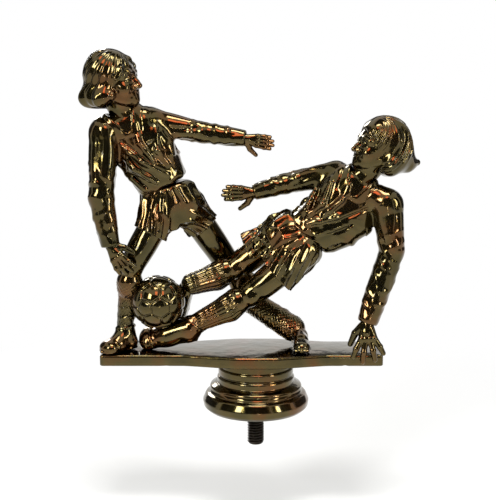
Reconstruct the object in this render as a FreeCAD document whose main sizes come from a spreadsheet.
"""Figure trophy topper: two football players and a ball on a platform, a stepped pedestal and an M6 stud.

Units are millimetres. +Z is up and +X runs along the platform. The origin is the centre of the pedestal's
seating face. The stud points down from it. Joint heights are measured up from the platform's top face.
"""
import FreeCAD, Part
import Sketcher
import math
import os

Vector = FreeCAD.Vector
UP = Vector(0, 0, 1)
FRONT = Vector(0, -1, 0)

doc = FreeCAD.newDocument("figure_trophy")
sheet = doc.addObject("Spreadsheet::Sheet", "Sizes")

# Sizes of the base, the stud and the fits.
BASE_SIZES = {
    "rim_radius": 17.8,          # pedestal at its seating face
    "rim_bulge": 0.6,            # how far the lowest ring swells past the seating face
    "rim_bulge_height": 2.2,
    "rim_height": 5.8,
    "ring_two_radius": 15.8,
    "ring_two_height": 4.0,
    "ring_one_radius": 13.0,
    "ring_one_height": 5.4,
    "collar_radius": 12.0,
    "collar_height": 2.6,
    "step_round": 0.9,
    "pedestal_wall": 2.2,
    "web_height": 8.0,           # underside of the web that the nut pulls against
    "web_thickness": 2.6,
    "platform_left": 55.0,       # from the pedestal's axis to the left end
    "platform_right": 44.8,
    "platform_half_depth": 9.8,
    "platform_belly": 13.8,      # half depth over the pedestal
    "belly_half": 25.0,          # from the axis to where the swelling of the platform begins
    "belly_flat": 7.0,
    "platform_thickness": 4.0,
    "platform_edge": 0.4,
    "spigot_radius": 8.0,        # round spigot under the platform, which centres the pedestal
    "stud_radius": 3.0,          # M6 over its crests
    "thread_pitch": 1.0,
    "thread_depth": 0.6,
    "thread_crest": 0.2,
    "thread_fit": 0.05,
    "stud_drop": 13.8,           # stud below the seating face
    "stud_grip": 3.0,            # stud above the spigot's end, in the platform
    "stud_chamfer": 0.7,
    "stud_inner_radius": 2.84,   # crests of the inner length, rolled to the small limit of a coarse M6
    "turning_margin": 1.0,       # how far a turned cut runs past the outside
    "nut_flats": 10.0,
    "nut_height": 5.0,
    "washer_radius": 6.0,
    "washer_thickness": 1.6,
    "ball_radius": 9.55,
    "drawn_length": 99.8,        # platform length that the players' joints are given for
    "running_fit": 0.1,
    "stud_fit": 0.3,
    "peg_fit": 0.06,
    "cloth_ease": 0.5,           # shorts outside the hip
    "boot_wall": 0.25,           # boot outside the foot and ankle
    "peg_radius": 1.3,
    "peg_length": 3.2,
    "shoulder_peg_out": 1.6,     # how far outside the shirt the shoulder peg starts
    "foot_peg_radius": 1.2,
    "foot_peg_length": 2.4,
}

# Joints: distance along X, distance along Y, height above the platform, radius of the limb there.
STANDING_JOINTS = {
    "collar": (-45.6, 1.0, 84.6, 4.3),
    "throat": (-47.8, 0.6, 88.8, 4.1),
    "skull": (-50.2, 0.4, 97.4, 9.4),
    "face": (-46.0, -0.8, 93.6, 7.4),
    "shoulder_right": (-52.3, -1.5, 78.6, 4.9),
    "elbow_right": (-54.1, -5.0, 55.6, 4.1),
    "wrist_right": (-50.4, -7.0, 38.8, 2.9),
    "knuckles_right": (-46.8, -8.0, 33.6, 3.5),
    "shoulder_left": (-36.4, 3.0, 80.6, 4.4),
    "elbow_left": (-18.5, 3.0, 77.0, 3.5),
    "wrist_left": (-3.5, 1.0, 75.2, 2.4),
    "knuckles_left": (2.4, 0.2, 73.8, 2.8),
    "hip_right": (-34.0, 0.0, 48.6, 5.6),
    "hem_right": (-37.6, -1.6, 42.4, 6.0),
    "knee_right": (-43.9, -2.8, 30.1, 4.4),
    "calf_right": (-45.2, -0.6, 20.5, 3.8),
    "ankle_right": (-45.8, -0.8, 9.5, 3.1),
    "heel_right": (-45.0, -1.6, 3.0, 3.1),
    "toe_right": (-51.6, -7.0, 2.6, 2.8),
    "hip_left": (-23.6, 5.4, 49.0, 5.8),
    "hem_left": (-19.0, 6.8, 43.0, 6.4),
    "knee_left": (-8.0, 13.4, 26.4, 4.3),
    "calf_left": (-1.8, 10.8, 16.4, 4.6),
    "ankle_left": (13.0, 5.0, 7.4, 3.9),
    "heel_left": (15.0, 3.4, 3.4, 3.5),
    "toe_left": (15.4, -6.6, 2.8, 3.3),
}

SLIDING_JOINTS = {
    "collar": (37.2, -0.2, 62.6, 4.3),
    "throat": (39.6, -0.6, 66.0, 4.1),
    "skull": (45.8, -0.4, 73.4, 9.4),
    "face": (41.2, -1.6, 71.8, 7.5),
    "shoulder_right": (28.4, 3.4, 61.4, 4.6),
    "elbow_right": (10.0, 5.0, 58.6, 3.4),
    "wrist_right": (-1.4, 4.0, 55.6, 2.3),
    "knuckles_right": (-7.0, 3.2, 54.4, 2.7),
    "shoulder_left": (45.6, -3.6, 53.8, 4.9),
    "elbow_left": (47.4, -5.0, 36.8, 4.2),
    "wrist_left": (39.8, -6.6, 12.4, 3.1),
    "knuckles_left": (38.6, -6.8, 3.4, 3.5),
    "hip_right": (12.8, 4.2, 41.4, 5.8),
    "hem_right": (-0.8, 4.4, 34.4, 6.2),
    "knee_right": (-7.1, 3.2, 28.9, 4.2),
    "calf_right": (-14.4, 3.2, 25.8, 4.0),
    "ankle_right": (-23.0, 3.8, 22.6, 3.0),
    "heel_right": (-25.0, 4.6, 19.6, 3.0),
    "toe_right": (-27.8, 7.4, 12.0, 2.7),
    "hip_left": (17.2, -4.2, 36.6, 5.9),
    "hem_left": (9.4, -4.4, 29.8, 6.0),
    "knee_left": (-1.9, -4.8, 20.9, 4.6),
    "calf_left": (-9.8, -4.0, 15.8, 4.4),
    "ankle_left": (-21.2, -2.8, 10.0, 3.1),
    "heel_left": (-23.6, -2.6, 7.0, 3.1),
    "toe_left": (-37.0, -2.8, 3.6, 3.2),
}

BALL_CENTRE = (-34.6, -3.0, 17.7)

# Trunk sections: centre along X, along Y, height, half width, half depth.
STANDING_TORSO = {
    "waist": (-32.5, 2.0, 58.4, 8.7, 6.3),
    "ribs": (-36.0, 1.7, 66.0, 9.8, 6.8),
    "chest": (-39.8, 1.3, 74.0, 11.2, 6.9),
    "yoke": (-43.2, 1.0, 80.6, 10.6, 5.8),
    "neckline": (-45.8, 1.0, 85.0, 5.0, 4.5),
}
SLIDING_TORSO = {
    "waist": (17.2, -0.3, 41.4, 9.4, 6.4),
    "ribs": (24.2, -0.4, 45.6, 10.8, 6.8),
    "chest": (30.8, -0.5, 51.0, 12.0, 6.9),
    "yoke": (35.0, -0.4, 58.0, 10.6, 5.8),
    "neckline": (37.4, -0.2, 62.8, 5.0, 4.5),
}
STANDING_SHORTS = {
    "seat": (-28.4, 3.0, 46.2, 8.8, 6.4),
    "hips": (-29.8, 2.8, 52.2, 10.6, 7.2),
    "band": (-32.5, 2.0, 58.4, 8.9, 6.5),
}
SLIDING_SHORTS = {
    "seat": (7.2, -0.2, 35.8, 9.6, 6.4),
    "hips": (11.4, -0.2, 38.8, 10.8, 7.2),
    "band": (16.8, -0.3, 42.0, 9.8, 6.6),
}
SPREAD_FINGERS = {
    "thumb_tip": (33.6, -4.6, 1.7, 1.7),
    "index_tip": (37.0, -9.8, 1.5, 1.5),
    "middle_tip": (41.2, -9.8, 1.5, 1.5),
    "little_tip": (43.6, -6.4, 1.6, 1.6),
}

next_row = 1


def add_cell(alias, value):
    """Put one plain number in the sheet under a name."""
    global next_row
    sheet.set(f"A{next_row}", alias.replace("_", " "))
    sheet.set(f"B{next_row}", str(value))
    sheet.setAlias(f"B{next_row}", alias)
    next_row += 1


def add_rows(prefix, rows, columns):
    for name, values in rows.items():
        for column, value in zip(columns, values):
            add_cell(f"{prefix}_{name}_{column}", value)


JOINT_COLUMNS = ("along", "across", "height", "radius")
SECTION_COLUMNS = ("along", "across", "height", "half_width", "half_depth")

for size_name, size_value in BASE_SIZES.items():
    add_cell(size_name, size_value)
add_rows("standing", STANDING_JOINTS, JOINT_COLUMNS)
add_rows("sliding", SLIDING_JOINTS, JOINT_COLUMNS)
add_rows("sliding", SPREAD_FINGERS, JOINT_COLUMNS)
add_rows("standing_torso", STANDING_TORSO, SECTION_COLUMNS)
add_rows("sliding_torso", SLIDING_TORSO, SECTION_COLUMNS)
add_rows("standing_shorts", STANDING_SHORTS, SECTION_COLUMNS)
add_rows("sliding_shorts", SLIDING_SHORTS, SECTION_COLUMNS)
add_rows("football", {"centre": BALL_CENTRE}, JOINT_COLUMNS[:3])
doc.recompute()


def size(name):
    return float(sheet.get(name))


def bound(names):
    """An expression that adds up cells of the sheet; a leading minus sign subtracts one."""
    terms = [("- Sizes." + n[1:]) if n.startswith("-") else ("+ Sizes." + n) for n in names.split()]
    return " ".join(terms).lstrip("+ ")


PLATFORM_UNDER = "rim_height ring_two_height ring_one_height collar_height"
PLATFORM_TOP = PLATFORM_UNDER + " platform_thickness"
SPIGOT_LENGTH = PLATFORM_UNDER + " -web_height -web_thickness -running_fit"
STUD_LENGTH = "stud_drop " + PLATFORM_UNDER + " stud_grip"


def total(names):
    """The same sum as bound(), as a number."""
    return sum(-size(n[1:]) if n.startswith("-") else size(n) for n in names.split())


platform_top = total(PLATFORM_TOP)
platform_length = total("platform_left platform_right")
stretch = platform_length / size("drawn_length")

# ---------------------------------------------------------------- sketches and bodies


def new_body(name):
    body = doc.addObject("PartDesign::Body", name)
    body.Label = name
    return body


def new_sketch(body, name, role):
    sketch = body.newObject("Sketcher::SketchObject", name)
    plane = next(f for f in body.Origin.OriginFeatures if f.Role == role)
    sketch.AttachmentSupport = [(plane, "")]
    sketch.MapMode = "FlatFace"
    return sketch


def add_outline(sketch, corners):
    """Closed outline through corners given as sums of sheet names for x and for y; "" is zero."""
    points = [Vector(total(x), total(y), 0) for x, y in corners]
    count = len(points)
    for i in range(count):
        sketch.addGeometry(Part.LineSegment(points[i], points[(i + 1) % count]))
    for i in range(count):
        sketch.addConstraint(Sketcher.Constraint("Coincident", i, 2, (i + 1) % count, 1))
    for i, (x, y) in enumerate(corners):
        pin(sketch, i, "DistanceX", x, points[i].x)
        pin(sketch, i, "DistanceY", y, points[i].y)


def pin(sketch, line, kind, names, value):
    """Tie one coordinate of a line's first point to the sheet."""
    if not names:
        sketch.addConstraint(Sketcher.Constraint("PointOnObject", line, 1, -2 if kind == "DistanceX" else -1))
    elif value > 0:
        index = sketch.addConstraint(Sketcher.Constraint(kind, -1, 1, line, 1, value))
        sketch.setExpression(f"Constraints[{index}]", bound(names))
    else:
        index = sketch.addConstraint(Sketcher.Constraint(kind, line, 1, -1, 1, -value))
        sketch.setExpression(f"Constraints[{index}]", f"-({bound(names)})")


def add_circle(sketch, x, y, radius_names, radius_value):
    """Circle whose centre is given as (expression, value) pairs and whose radius is bound to the sheet."""
    index = sketch.addGeometry(Part.Circle(Vector(x[1], y[1], 0), UP, radius_value))
    for kind, (expression, value) in (("DistanceX", x), ("DistanceY", y)):
        if value == 0:
            sketch.addConstraint(Sketcher.Constraint("PointOnObject", index, 3, -2 if kind == "DistanceX" else -1))
        elif value > 0:
            place = sketch.addConstraint(Sketcher.Constraint(kind, -1, 1, index, 3, value))
            sketch.setExpression(f"Constraints[{place}]", expression)
        else:
            place = sketch.addConstraint(Sketcher.Constraint(kind, index, 3, -1, 1, -value))
            sketch.setExpression(f"Constraints[{place}]", f"-({expression})")
    ring = sketch.addConstraint(Sketcher.Constraint("Radius", index, radius_value))
    sketch.setExpression(f"Constraints[{ring}]", bound(radius_names))


def pad(body, sketch, length_names, name, downward=False):
    feature = body.newObject("PartDesign::Pad", name)
    feature.Profile = sketch
    feature.Length = total(length_names)
    feature.setExpression("Length", bound(length_names))
    feature.Reversed = downward
    doc.recompute()
    return feature


def turned(body, sketch, name, cut=False):
    """Full turn of a sketch about the body's upright axis."""
    feature = body.newObject("PartDesign::Groove" if cut else "PartDesign::Revolution", name)
    feature.Profile = sketch
    feature.ReferenceAxis = (sketch, ["V_Axis"])
    feature.Angle = 360
    doc.recompute()
    return feature


def pocket(body, sketch, length_names, name, downward=False):
    """Cut along the sketch's normal, and check that it took something away."""
    before = body.Shape.Volume
    feature = body.newObject("PartDesign::Pocket", name)
    feature.Profile = sketch
    feature.Length = total(length_names)
    feature.setExpression("Length", bound(length_names))
    feature.Reversed = not downward
    doc.recompute()
    if body.Shape.Volume >= before:
        raise ValueError(name + " cuts nothing")
    return feature


def round_edges(body, kind, name, radius_names, wanted):
    """Fillet or chamfer the edges that pass a test."""
    base = body.Tip
    edges = [f"Edge{i + 1}" for i, e in enumerate(base.Shape.Edges) if wanted(e)]
    feature = body.newObject("PartDesign::" + kind, name)
    feature.Base = (base, edges)
    measure = "Radius" if kind == "Fillet" else "Size"
    setattr(feature, measure, total(radius_names))
    feature.setExpression(measure, bound(radius_names))
    doc.recompute()
    return feature


def place_at(thing, height_names):
    """Set a body at a height that follows the sheet."""
    thing.setExpression("Placement.Base.z", bound(height_names))
    doc.recompute()


# ---------------------------------------------------------------- base


def make_pedestal():
    """Stepped round riser: three rings, hollow below, with a web for the nut and a socket for the spigot."""
    body = new_body("pedestal")
    sketch = new_sketch(body, "pedestal_section", "XZ_Plane")
    ring_two_top = "rim_height ring_two_height"
    ring_one_top = ring_two_top + " ring_one_height"
    add_outline(sketch, [
        ("rim_radius", ""),
        ("rim_radius rim_bulge", "rim_bulge_height"),
        ("ring_two_radius step_round", "rim_height"),
        ("ring_two_radius", "rim_height"),
        ("ring_two_radius", ring_two_top),
        ("ring_one_radius", ring_two_top),
        ("ring_one_radius", ring_one_top),
        ("collar_radius", ring_one_top),
        ("collar_radius", PLATFORM_UNDER),
        ("spigot_radius running_fit", PLATFORM_UNDER),
        ("spigot_radius running_fit", "web_height web_thickness"),
        ("stud_radius stud_fit", "web_height web_thickness"),
        ("stud_radius stud_fit", "web_height"),
        ("ring_two_radius -pedestal_wall", "web_height"),
        ("ring_two_radius -pedestal_wall", "rim_height -pedestal_wall"),
        ("rim_radius -pedestal_wall", "rim_height -pedestal_wall"),
        ("rim_radius -pedestal_wall", ""),
    ])
    turned(body, sketch, "pedestal_turned")

    def step_edge(edge):
        if not isinstance(edge.Curve, Part.Circle):
            return False
        corners = (("ring_two_radius", ring_two_top), ("ring_one_radius", ring_one_top),
                   ("rim_radius rim_bulge", "rim_bulge_height"))
        return any(abs(edge.Curve.Radius - total(r)) < 0.01 and abs(edge.Curve.Center.z - total(z)) < 0.01
                   for r, z in corners)

    round_edges(body, "Fillet", "pedestal_rounds", "step_round", step_edge)
    return body


def make_platform():
    """Long bar with a swollen middle, a spigot below it and sockets for the pegs of hands and feet."""
    body = new_body("platform")
    outline = new_sketch(body, "platform_plan", "XY_Plane")
    left, right = "-platform_left", "platform_right"
    left_belly, right_belly = "-belly_half", "belly_half"
    left_flat, right_flat = "-belly_flat", "belly_flat"
    near, far = "-platform_half_depth", "platform_half_depth"
    near_belly, far_belly = "-platform_belly", "platform_belly"
    add_outline(outline, [
        (left, near), (left_belly, near), (left_flat, near_belly), (right_flat, near_belly),
        (right_belly, near), (right, near), (right, far), (right_belly, far),
        (right_flat, far_belly), (left_flat, far_belly), (left_belly, far), (left, far),
    ])
    pad(body, outline, "platform_thickness", "platform_bar")
    top = size("platform_thickness")
    round_edges(body, "Chamfer", "platform_edge_break", "platform_edge",
                lambda e: abs(e.BoundBox.ZMin - top) < 0.01 and abs(e.BoundBox.ZMax - top) < 0.01)
    spigot = new_sketch(body, "spigot_circle", "XY_Plane")
    origin = ("0", 0)
    add_circle(spigot, origin, origin, "spigot_radius", size("spigot_radius"))
    pad(body, spigot, SPIGOT_LENGTH, "spigot", downward=True)
    hole = new_sketch(body, "stud_hole_section", "XZ_Plane")
    bore = total("stud_radius thread_fit")
    depth = total(SPIGOT_LENGTH)
    grip = size("stud_grip")
    corners = [Vector(0, -depth), Vector(bore, -depth), Vector(bore, grip), Vector(0, grip)]
    for i in range(4):
        hole.addGeometry(Part.LineSegment(corners[i], corners[(i + 1) % 4]))
    for i in range(4):
        hole.addConstraint(Sketcher.Constraint("Coincident", i, 2, (i + 1) % 4, 1))
    hole.addConstraint(Sketcher.Constraint("PointOnObject", 0, 1, -2))
    hole.addConstraint(Sketcher.Constraint("PointOnObject", 3, 1, -2))
    hole.addConstraint(Sketcher.Constraint("Horizontal", 0))
    hole.addConstraint(Sketcher.Constraint("Horizontal", 2))
    wide = hole.addConstraint(Sketcher.Constraint("DistanceX", 0, 1, 0, 2, bore))
    hole.setExpression(f"Constraints[{wide}]", bound("stud_radius thread_fit"))
    low = hole.addConstraint(Sketcher.Constraint("DistanceY", 0, 1, -1, 1, depth))
    hole.setExpression(f"Constraints[{low}]", bound(SPIGOT_LENGTH))
    high = hole.addConstraint(Sketcher.Constraint("DistanceY", -1, 1, 2, 1, grip))
    hole.setExpression(f"Constraints[{high}]", bound("stud_grip"))
    before = body.Shape.Volume
    turned(body, hole, "stud_hole", cut=True)
    if body.Shape.Volume >= before:
        raise ValueError("the stud hole cuts nothing")
    sockets = new_sketch(body, "foot_sockets", "XY_Plane")
    sockets.AttachmentOffset = FreeCAD.Placement(Vector(0, 0, top), FreeCAD.Rotation())
    sockets.setExpression("AttachmentOffset.Base.z", bound("platform_thickness"))
    for player, joint_name in FOOT_PEGS:
        x, y, _, _ = joint_values(player, joint_name)
        along = f"Sizes.{player}_{joint_name}_along * ({bound('platform_left platform_right')}) / Sizes.drawn_length"
        add_circle(sockets, (along, x), (f"Sizes.{player}_{joint_name}_across", y),
                   "foot_peg_radius peg_fit", total("foot_peg_radius peg_fit"))
    pocket(body, sockets, "foot_peg_length running_fit", "foot_socket_holes", downward=True)
    place_at(body, PLATFORM_UNDER)
    return body


def make_stud():
    """M6 stud with a cut thread all along, from the platform down past the seating face."""
    body = new_body("mounting_stud")
    blank = new_sketch(body, "stud_circle", "XY_Plane")
    origin = ("0", 0)
    add_circle(blank, origin, origin, "stud_radius", size("stud_radius"))
    pad(body, blank, STUD_LENGTH, "stud_blank")
    round_edges(body, "Chamfer", "stud_ends", "stud_chamfer", lambda e: isinstance(e.Curve, Part.Circle))
    relief = new_sketch(body, "inner_length_section", "XZ_Plane")
    outside = "stud_radius turning_margin"
    past_end = STUD_LENGTH + " turning_margin"
    add_outline(relief, [("stud_inner_radius", "stud_drop"), (outside, "stud_drop"),
                         (outside, past_end), ("stud_inner_radius", past_end)])
    turned(body, relief, "inner_length", cut=True)
    section = new_sketch(body, "thread_section", "XZ_Plane")
    root = size("stud_radius") - size("thread_depth")
    first_turn = size("stud_chamfer") + size("thread_pitch")
    clear = 0.25 * size("thread_depth")
    half = (0.5 * size("thread_pitch") - size("thread_crest") / 2) * (1 + clear / size("thread_depth"))
    points = [Vector(root, first_turn), Vector(size("stud_radius") + clear, first_turn - half),
              Vector(size("stud_radius") + clear, first_turn + half)]
    for i in range(3):
        section.addGeometry(Part.LineSegment(points[i], points[(i + 1) % 3]))
    for i in range(3):
        section.addConstraint(Sketcher.Constraint("Coincident", i, 2, (i + 1) % 3, 1))
    turned(body, section, "thread_turn", cut=True)
    groove = body.Tip
    turns = body.newObject("PartDesign::LinearPattern", "thread_turns")
    turns.Originals = [groove]
    turns.Direction = (section, ["V_Axis"])
    count = int((total(STUD_LENGTH) - 2 * first_turn) / size("thread_pitch")) + 1
    turns.Length = (count - 1) * size("thread_pitch")
    turns.Occurrences = count
    body.Tip = turns
    doc.recompute()
    body.setExpression("Placement.Base.z", "-Sizes.stud_drop")
    doc.recompute()
    return body


def make_nut():
    body = new_body("stud_nut")
    sketch = new_sketch(body, "nut_plan", "XY_Plane")
    corner = size("nut_flats") / math.sqrt(3)
    points = [Vector(corner * math.cos(math.radians(60 * i)), corner * math.sin(math.radians(60 * i)))
              for i in range(6)]
    for i in range(6):
        sketch.addGeometry(Part.LineSegment(points[i], points[(i + 1) % 6]))
    circle = sketch.addGeometry(Part.Circle(Vector(0, 0, 0), UP, corner), True)
    sketch.addConstraint(Sketcher.Constraint("Coincident", circle, 3, -1, 1))
    across = sketch.addConstraint(Sketcher.Constraint("Radius", circle, corner))
    sketch.setExpression(f"Constraints[{across}]", "Sizes.nut_flats / sqrt(3)")
    for i in range(6):
        sketch.addConstraint(Sketcher.Constraint("Coincident", i, 2, (i + 1) % 6, 1))
        sketch.addConstraint(Sketcher.Constraint("PointOnObject", i, 1, circle))
    for i in range(1, 5):
        sketch.addConstraint(Sketcher.Constraint("Equal", 0, i))
    sketch.addConstraint(Sketcher.Constraint("PointOnObject", 0, 1, -1))
    origin = ("0", 0)
    add_circle(sketch, origin, origin, "stud_radius thread_fit", total("stud_radius thread_fit"))
    pad(body, sketch, "nut_height", "nut_blank")
    place_at(body, "web_height -washer_thickness -nut_height")
    return body


def make_washer():
    body = new_body("stud_washer")
    sketch = new_sketch(body, "washer_plan", "XY_Plane")
    origin = ("0", 0)
    add_circle(sketch, origin, origin, "washer_radius", size("washer_radius"))
    add_circle(sketch, origin, origin, "stud_radius stud_fit", total("stud_radius stud_fit"))
    pad(body, sketch, "washer_thickness", "washer_blank")
    place_at(body, "web_height -washer_thickness")
    return body


def make_football():
    ball = doc.addObject("Part::Sphere", "football")
    ball.Label = "football"
    ball.setExpression("Radius", "Sizes.ball_radius")
    ball.setExpression("Placement.Base.x", "Sizes.football_centre_along * "
                       f"({bound('platform_left platform_right')}) / Sizes.drawn_length")
    ball.setExpression("Placement.Base.y", "Sizes.football_centre_across")
    ball.setExpression("Placement.Base.z", bound(PLATFORM_TOP) + " + Sizes.football_centre_height")
    doc.recompute()
    return ball


# ---------------------------------------------------------------- players


def joint_values(player, name):
    """A joint's x, y, z and limb radius in the part's frame."""
    along, across, height, radius = (size(f"{player}_{name}_{c}") for c in JOINT_COLUMNS)
    return along * stretch, across, platform_top + height, radius


def joint_point(player, name):
    return Vector(*joint_values(player, name)[:3])


def section_point(prefix, name):
    """The centre of a section of a shirt or of shorts."""
    along, across, height = (size(f"{prefix}_{name}_{c}") for c in SECTION_COLUMNS[:3])
    return Vector(along * stretch, across, platform_top + height)


def fuse_all(shapes):
    return shapes[0].multiFuse(shapes[1:]) if len(shapes) > 1 else shapes[0]


def limb(player, names, swell=0.0):
    """Tapered round limb through joints, one cone from each joint to the next and a ball at each joint."""
    shapes = []
    for name in names:
        x, y, z, radius = joint_values(player, name)
        shapes.append(Part.makeSphere(radius + swell, Vector(x, y, z)))
    for first, second in zip(names, names[1:]):
        start, end = joint_point(player, first), joint_point(player, second)
        radii = [joint_values(player, n)[3] + swell for n in (first, second)]
        run = end - start
        if abs(radii[0] - radii[1]) < 0.01:
            shapes.append(Part.makeCylinder(radii[0], run.Length, start, run))
        else:
            shapes.append(Part.makeCone(radii[0], radii[1], run.Length, start, run))
    return fuse_all(shapes)


def sleeve(player, first, second):
    """Open-ended cloth tube, as a solid cone with a flat end at its hem."""
    start, end = joint_point(player, first), joint_point(player, second)
    run = end - start
    radii = [joint_values(player, n)[3] for n in (first, second)]
    cone = Part.makeCone(radii[0] + size("cloth_ease"), radii[1], run.Length, start, run)
    return cone.fuse(Part.makeSphere(radii[0] + size("cloth_ease"), start))


def trunk(prefix, names):
    """Smooth body through elliptical sections that stand square to the line of their centres."""
    rows = [[size(f"{prefix}_{name}_{c}") for c in SECTION_COLUMNS] for name in names]
    centres = [Vector(r[0] * stretch, r[1], platform_top + r[2]) for r in rows]
    wires = []
    for i, (row, centre) in enumerate(zip(rows, centres)):
        before, after = centres[max(i - 1, 0)], centres[min(i + 1, len(rows) - 1)]
        axis = (after - before).normalize()
        across = axis.cross(FRONT).normalize()
        depth = axis.cross(across).normalize()
        ellipse = Part.Ellipse(centre + across * row[3], centre + depth * row[4], centre)
        wires.append(Part.Wire([ellipse.toShape()]))
    return Part.makeLoft(wires, True, False)


def peg(start, toward, length, radius, past=0.0):
    direction = (toward - start).normalize()
    return Part.makeCylinder(radius, length + past, start, direction)


def join(child, parent, root, toward, depth):
    """Give the child a peg from its root, and the parent the socket for it."""
    child = child.fuse(peg(root, toward, depth, size("peg_radius")))
    socket = peg(root, toward, depth, size("peg_radius") + size("peg_fit"), past=size("running_fit"))
    return child, parent.cut(socket)


def beyond(start, end, distance):
    """The point past the start, on the line to the end, at a distance from the start."""
    return start + (end - start).normalize() * distance


def add_piece(name, shape):
    """Put a finished shape in the document as one named sub-part."""
    feature = doc.addObject("Part::Feature", name)
    feature.Label = name
    solids = shape.Solids
    feature.Shape = solids[0] if len(solids) == 1 else shape
    feature.Placement = FreeCAD.Placement()
    return feature


FOOT_PEGS = (("standing", "heel_right"), ("standing", "heel_left"), ("sliding", "toe_left"),
             ("sliding", "knuckles_left"))


def make_player(player, ball_shape):
    """Shirt, shorts, head, arms, legs and boots of one player, each cut to meet its neighbour and pegged."""
    below_top = Part.makeBox(400, 400, 100, Vector(-200, -200, platform_top - 100))
    torso = trunk(f"{player}_torso", ("waist", "ribs", "chest", "yoke", "neckline"))
    shorts = trunk(f"{player}_shorts", ("seat", "hips", "band"))
    shorts = fuse_all([shorts] + [sleeve(player, f"hip_{s}", f"hem_{s}") for s in ("right", "left")])
    shorts = shorts.cut(torso)
    head = limb(player, ("collar", "throat", "skull")).fuse(limb(player, ("face",))).cut(torso)
    pieces = {}
    reach = size("peg_length")

    collar, throat = joint_point(player, "collar"), joint_point(player, "throat")
    head, torso = join(head, torso, beyond(collar, throat, reach), collar, 2 * reach)
    waist = section_point(f"{player}_torso", "waist")
    hips = section_point(f"{player}_shorts", "hips")
    shorts, torso = join(shorts, torso, beyond(waist, hips, reach), waist, 2 * reach)

    yoke = section_point(f"{player}_torso", "yoke")
    blocks = torso.fuse(shorts)
    for side in ("right", "left"):
        hip, hem, knee = (joint_point(player, f"{n}_{side}") for n in ("hip", "hem", "knee"))
        ankle, heel = joint_point(player, f"ankle_{side}"), joint_point(player, f"heel_{side}")
        leg = limb(player, [f"{n}_{side}" for n in ("hip", "knee", "calf", "ankle")])
        leg = leg.cut(shorts).cut(torso).cut(ball_shape)
        leg = max(leg.Solids, key=lambda solid: solid.Volume)
        leg_before_socket = leg
        leg, shorts = join(leg, shorts, beyond(hem, knee, reach), hem, 2 * reach)
        boot = limb(player, [f"{n}_{side}" for n in ("ankle", "heel", "toe")], swell=size("boot_wall"))
        boot = boot.cut(leg_before_socket).cut(below_top).cut(ball_shape)
        boot = max(boot.Solids, key=lambda solid: solid.Volume)
        boot, leg = join(boot, leg, heel, ankle, (ankle - heel).Length + reach / 2)
        boot = boot.cut(ball_shape)
        pieces[f"{side}_leg"] = leg
        pieces[f"{side}_boot"] = boot
        blocks = blocks.fuse(leg_before_socket)

    for side in ("right", "left"):
        shoulder = joint_point(player, f"shoulder_{side}")
        arm = limb(player, [f"{n}_{side}" for n in ("shoulder", "elbow", "wrist", "knuckles")])
        if (player, f"knuckles_{side}") in FOOT_PEGS:
            fingers = [limb(player, (f"knuckles_{side}", tip)) for tip in SPREAD_FINGERS]
            arm = fuse_all([arm] + fingers).cut(below_top)
        arm = arm.cut(blocks).cut(head)
        arm = max(arm.Solids, key=lambda solid: solid.Volume)
        shirt = size(f"{player}_torso_yoke_half_width")
        root = beyond(yoke, shoulder, shirt + size("shoulder_peg_out"))
        arm, torso = join(arm, torso, root, yoke, size("shoulder_peg_out") + reach)
        pieces[f"{side}_arm"] = arm

    for peg_player, joint_name in FOOT_PEGS:
        if peg_player != player:
            continue
        piece = f"{joint_name.split('_')[1]}_{'arm' if 'knuckles' in joint_name else 'boot'}"
        centre = joint_point(player, joint_name)
        foot_peg = Part.makeCylinder(size("foot_peg_radius"), centre.z - platform_top + size("foot_peg_length"),
                                     centre, -UP)
        pieces[piece] = pieces[piece].fuse(foot_peg)

    pieces.update(head=head, torso=torso, shorts=shorts)
    return [add_piece(f"{player}_{name}", shape) for name, shape in pieces.items()]


football = make_football()
parts = [make_pedestal(), make_platform(), make_stud(), make_nut(), make_washer(), football]
for player_name in ("standing", "sliding"):
    parts += make_player(player_name, football.Shape)
doc.recompute()

for thing in doc.Objects:
    if any(flag in thing.State for flag in ("Invalid", "Error")):
        raise ValueError(f"{thing.Name} did not build: {thing.State}")
for part in parts:
    if part.Shape.isNull() or not part.Shape.isValid():
        raise ValueError(f"{part.Label} is not a sound solid")

os.makedirs("parts", exist_ok=True)
for part in parts:
    part.Shape.exportStep(f"parts/{part.Label}.step")
    print(f"{part.Label}: {len(part.Shape.Solids)} solid, {part.Shape.Volume:.1f} mm3")
